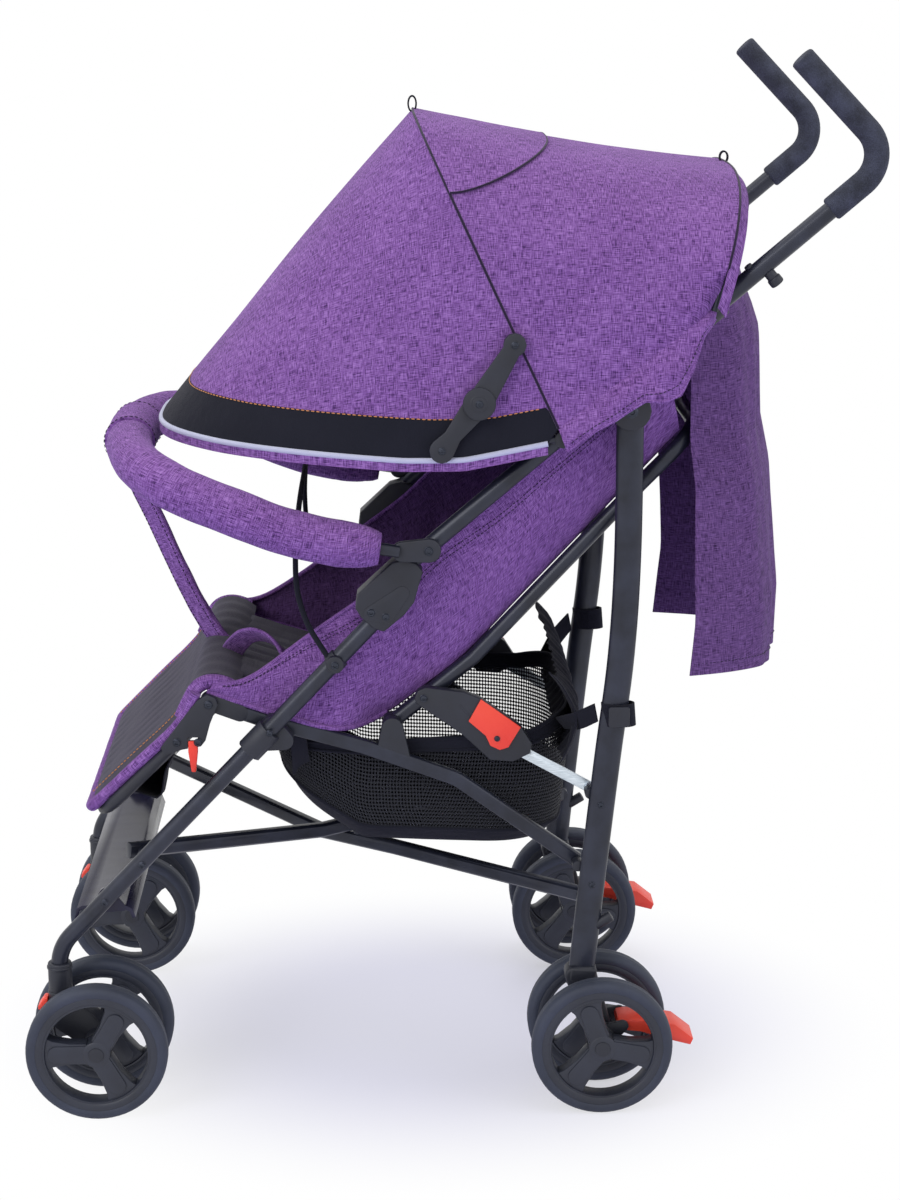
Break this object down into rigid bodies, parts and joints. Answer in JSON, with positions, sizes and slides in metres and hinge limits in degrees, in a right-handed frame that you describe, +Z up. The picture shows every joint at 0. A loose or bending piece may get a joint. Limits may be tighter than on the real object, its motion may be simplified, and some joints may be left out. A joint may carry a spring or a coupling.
{
  "type": "umbrella stroller",
  "caption": "Umbrella stroller: two side frames with hook handles, paired castor wheels, slung purple seat, folding hood, padded bumper, shopping basket.",
  "frame": {"origin": "centre of the stroller's footprint box, on the floor", "axes": "+Z up; the child faces -Y; +X is the child's left; the left and right halves mirror across X = 0"},
  "size_m": [0.4846, 0.8821, 1.1082],
  "materials": {
    "frame": "satin black powder coat",
    "plastic": "matt moulded",
    "foam": "closed-cell foam",
    "red_plastic": "satin",
    "steel": "plated",
    "tyre": "matt",
    "purple_fabric": "melange weave",
    "charcoal_fabric": "plain weave",
    "mesh_fabric": "open mesh"
  },
  "bodies": {
    "chassis": {"front_leg_left": "frame", "front_leg_right": "frame", "handle_tube_left": "frame", "handle_tube_right": "frame", "grip_left": "foam", "grip_right": "foam", "knee_bracket_left": "plastic", "knee_bracket_right": "plastic", "tee_bracket_left": "plastic", "tee_bracket_right": "plastic", "top_hinge_left": "plastic", "top_hinge_right": "plastic", "seat_rail_left": "frame", "seat_rail_right": "frame", "footrest": "plastic", "cross_bar_upper": "frame", "cross_bar_lower": "frame", "canopy_rear_bow": "plastic", "hood": "purple_fabric", "seat_sling": "purple_fabric", "seat_pad": "charcoal_fabric", "basket": "mesh_fabric", "rear_flap": "purple_fabric", "guard_hoop": "frame"},
    "rear_frame": {"rear_leg_left": "frame", "rear_leg_right": "frame"},
    "castor_left": {"castor_fork_left": "plastic"},
    "castor_right": {"castor_fork_right": "plastic"},
    "swivel_tab_left": {"swivel_lock_left": "red_plastic"},
    "swivel_tab_right": {"swivel_lock_right": "red_plastic"},
    "brake_left": {"brake_pedal_left": "red_plastic"},
    "brake_right": {"brake_pedal_right": "red_plastic"},
    "front_left_outer": {"wheel_front_left_outer": "tyre"},
    "front_left_inner": {"wheel_front_left_inner": "tyre"},
    "front_right_outer": {"wheel_front_right_outer": "tyre"},
    "front_right_inner": {"wheel_front_right_inner": "tyre"},
    "rear_left_outer": {"wheel_rear_left_outer": "tyre"},
    "rear_left_inner": {"wheel_rear_left_inner": "tyre"},
    "rear_right_outer": {"wheel_rear_right_outer": "tyre"},
    "rear_right_inner": {"wheel_rear_right_inner": "tyre"},
    "backrest": {"backrest_frame": "frame", "backrest_pad": "charcoal_fabric"},
    "recline_housings": {"recline_housing_left": "plastic", "recline_housing_right": "plastic"},
    "recline_strips": {"recline_strip_left": "steel", "recline_strip_right": "steel"},
    "recline_catch_left": {"recline_lever_left": "red_plastic"},
    "recline_catch_right": {"recline_lever_right": "red_plastic"},
    "legrest": {"legrest_frame": "frame", "calf_pad": "charcoal_fabric"},
    "trigger_left": {"legrest_trigger_left": "red_plastic"},
    "trigger_right": {"legrest_trigger_right": "red_plastic"},
    "bumper": {"bumper_bar": "frame", "bumper_sleeve": "purple_fabric"},
    "canopy": {"canopy_main_bow": "plastic"},
    "visor": {"canopy_front_bow": "plastic"},
    "brace_upper_left": {"elbow_upper_left": "plastic"},
    "brace_upper_right": {"elbow_upper_right": "plastic"},
    "brace_lower_left": {"elbow_lower_left": "plastic"},
    "brace_lower_right": {"elbow_lower_right": "plastic"}
  },
  "joints": [
    {"name": "rear_fold", "type": "hinge", "parent": "chassis", "child": "rear_frame", "pos_m": [0, 0.1905, 0.753], "axis": [-1, 0, 0], "range_deg": [0, 36]},
    {"name": "castor_swivel_left", "type": "hinge", "parent": "chassis", "child": "castor_left", "pos_m": [0.192, -0.407, 0.119], "axis": [0, 0, 1], "continuous": true},
    {"name": "castor_swivel_right", "type": "hinge", "parent": "chassis", "child": "castor_right", "pos_m": [-0.192, -0.407, 0.119], "axis": [0, 0, 1], "continuous": true},
    {"name": "swivel_lock_slide_left", "type": "slide", "parent": "castor_left", "child": "swivel_tab_left", "axis": [0, 0, -1], "range_m": [0, 0.004]},
    {"name": "swivel_lock_slide_right", "type": "slide", "parent": "castor_right", "child": "swivel_tab_right", "axis": [0, 0, -1], "range_m": [0, 0.004]},
    {"name": "brake_press_left", "type": "hinge", "parent": "rear_frame", "child": "brake_left", "pos_m": [0.192, 0.1925, 0.088], "axis": [-1, 0, 0], "range_deg": [0, 20]},
    {"name": "brake_press_right", "type": "hinge", "parent": "rear_frame", "child": "brake_right", "pos_m": [-0.192, 0.1925, 0.088], "axis": [-1, 0, 0], "range_deg": [0, 20]},
    {"name": "spin_front_left_outer", "type": "hinge", "parent": "castor_left", "child": "front_left_outer", "pos_m": [0.23035, -0.366, 0.075], "axis": [1, 0, 0], "continuous": true},
    {"name": "spin_front_left_inner", "type": "hinge", "parent": "castor_left", "child": "front_left_inner", "pos_m": [0.15365, -0.366, 0.075], "axis": [1, 0, 0], "continuous": true},
    {"name": "spin_front_right_outer", "type": "hinge", "parent": "castor_right", "child": "front_right_outer", "pos_m": [-0.23035, -0.366, 0.075], "axis": [1, 0, 0], "continuous": true},
    {"name": "spin_front_right_inner", "type": "hinge", "parent": "castor_right", "child": "front_right_inner", "pos_m": [-0.15365, -0.366, 0.075], "axis": [1, 0, 0], "continuous": true},
    {"name": "spin_rear_left_outer", "type": "hinge", "parent": "rear_frame", "child": "rear_left_outer", "pos_m": [0.23035, 0.169, 0.075], "axis": [1, 0, 0], "continuous": true},
    {"name": "spin_rear_left_inner", "type": "hinge", "parent": "rear_frame", "child": "rear_left_inner", "pos_m": [0.15365, 0.169, 0.075], "axis": [1, 0, 0], "continuous": true},
    {"name": "spin_rear_right_outer", "type": "hinge", "parent": "rear_frame", "child": "rear_right_outer", "pos_m": [-0.23035, 0.169, 0.075], "axis": [1, 0, 0], "continuous": true},
    {"name": "spin_rear_right_inner", "type": "hinge", "parent": "rear_frame", "child": "rear_right_inner", "pos_m": [-0.15365, 0.169, 0.075], "axis": [1, 0, 0], "continuous": true},
    {"name": "backrest_recline", "type": "hinge", "parent": "chassis", "child": "backrest", "pos_m": [0, -0.0515, 0.412], "axis": [-1, 0, 0], "range_deg": [-15, 20], "deforming": ["seat_sling", "rear_flap"]},
    {"name": "housing_turn", "type": "hinge", "parent": "backrest", "child": "recline_housings", "pos_m": [0, -0.0185, 0.441], "axis": [-1, 0, 0], "range_deg": [-22, 16.5]},
    {"name": "strip_slide", "type": "slide", "parent": "recline_housings", "child": "recline_strips", "axis": [0, 0.8725, -0.4886], "range_m": [-0.0145, 0.011]},
    {"name": "recline_squeeze_left", "type": "hinge", "parent": "recline_housings", "child": "recline_catch_left", "pos_m": [0.174, 0.0585, 0.4], "axis": [1, 0, 0], "range_deg": [0, 12], "stiffness_Nm_per_rad": 0.3},
    {"name": "recline_squeeze_right", "type": "hinge", "parent": "recline_housings", "child": "recline_catch_right", "pos_m": [-0.174, 0.0585, 0.4], "axis": [1, 0, 0], "range_deg": [0, 12], "stiffness_Nm_per_rad": 0.3},
    {"name": "legrest_raise", "type": "hinge", "parent": "chassis", "child": "legrest", "pos_m": [0, -0.2425, 0.443], "axis": [-1, 0, 0], "range_deg": [0, 40]},
    {"name": "trigger_pull_left", "type": "slide", "parent": "legrest", "child": "trigger_left", "axis": [0, 0, 1], "range_m": [0, 0.004], "stiffness_N_per_m": 200},
    {"name": "trigger_pull_right", "type": "slide", "parent": "legrest", "child": "trigger_right", "axis": [0, 0, 1], "range_m": [0, 0.004], "stiffness_N_per_m": 200},
    {"name": "bumper_swing", "type": "hinge", "parent": "chassis", "child": "bumper", "pos_m": [0, -0.0135, 0.6121], "axis": [1, 0, 0], "range_deg": [0, 30], "deforming": ["bumper_sleeve"]},
    {"name": "canopy_fold", "type": "hinge", "parent": "chassis", "child": "canopy", "pos_m": [0, 0.1215, 0.727], "axis": [-1, 0, 0], "range_deg": [0, 45], "deforming": ["hood"]},
    {"name": "visor_fold", "type": "hinge", "parent": "canopy", "child": "visor", "pos_m": [0, 0.1215, 0.727], "axis": [-1, 0, 0], "range_deg": [0, 48]},
    {"name": "brace_upper_turn_left", "type": "hinge", "parent": "canopy", "child": "brace_upper_left", "pos_m": [0.222, 0.0715, 0.824], "axis": [-1, 0, 0], "range_deg": [0, 105]},
    {"name": "brace_upper_turn_right", "type": "hinge", "parent": "canopy", "child": "brace_upper_right", "pos_m": [-0.222, 0.0715, 0.824], "axis": [-1, 0, 0], "range_deg": [0, 105]},
    {"name": "brace_lower_turn_left", "type": "hinge", "parent": "visor", "child": "brace_lower_left", "pos_m": [0.222, -0.0005, 0.7175], "axis": [1, 0, 0], "range_deg": [0, 95]},
    {"name": "brace_lower_turn_right", "type": "hinge", "parent": "visor", "child": "brace_lower_right", "pos_m": [-0.222, -0.0005, 0.7175], "axis": [1, 0, 0], "range_deg": [0, 95]}
  ],
  "couplings": [
    {"joint": "housing_turn", "follows": "backrest_recline", "ratio": -1.08},
    {"joint": "strip_slide", "follows": "backrest_recline", "m_per_rad": -0.0405},
    {"joint": "brace_upper_turn_left", "follows": "visor_fold", "ratio": 2.16},
    {"joint": "brace_upper_turn_right", "follows": "visor_fold", "ratio": 2.16},
    {"joint": "brace_lower_turn_left", "follows": "visor_fold", "ratio": 1.96},
    {"joint": "brace_lower_turn_right", "follows": "visor_fold", "ratio": 1.96}
  ]
}
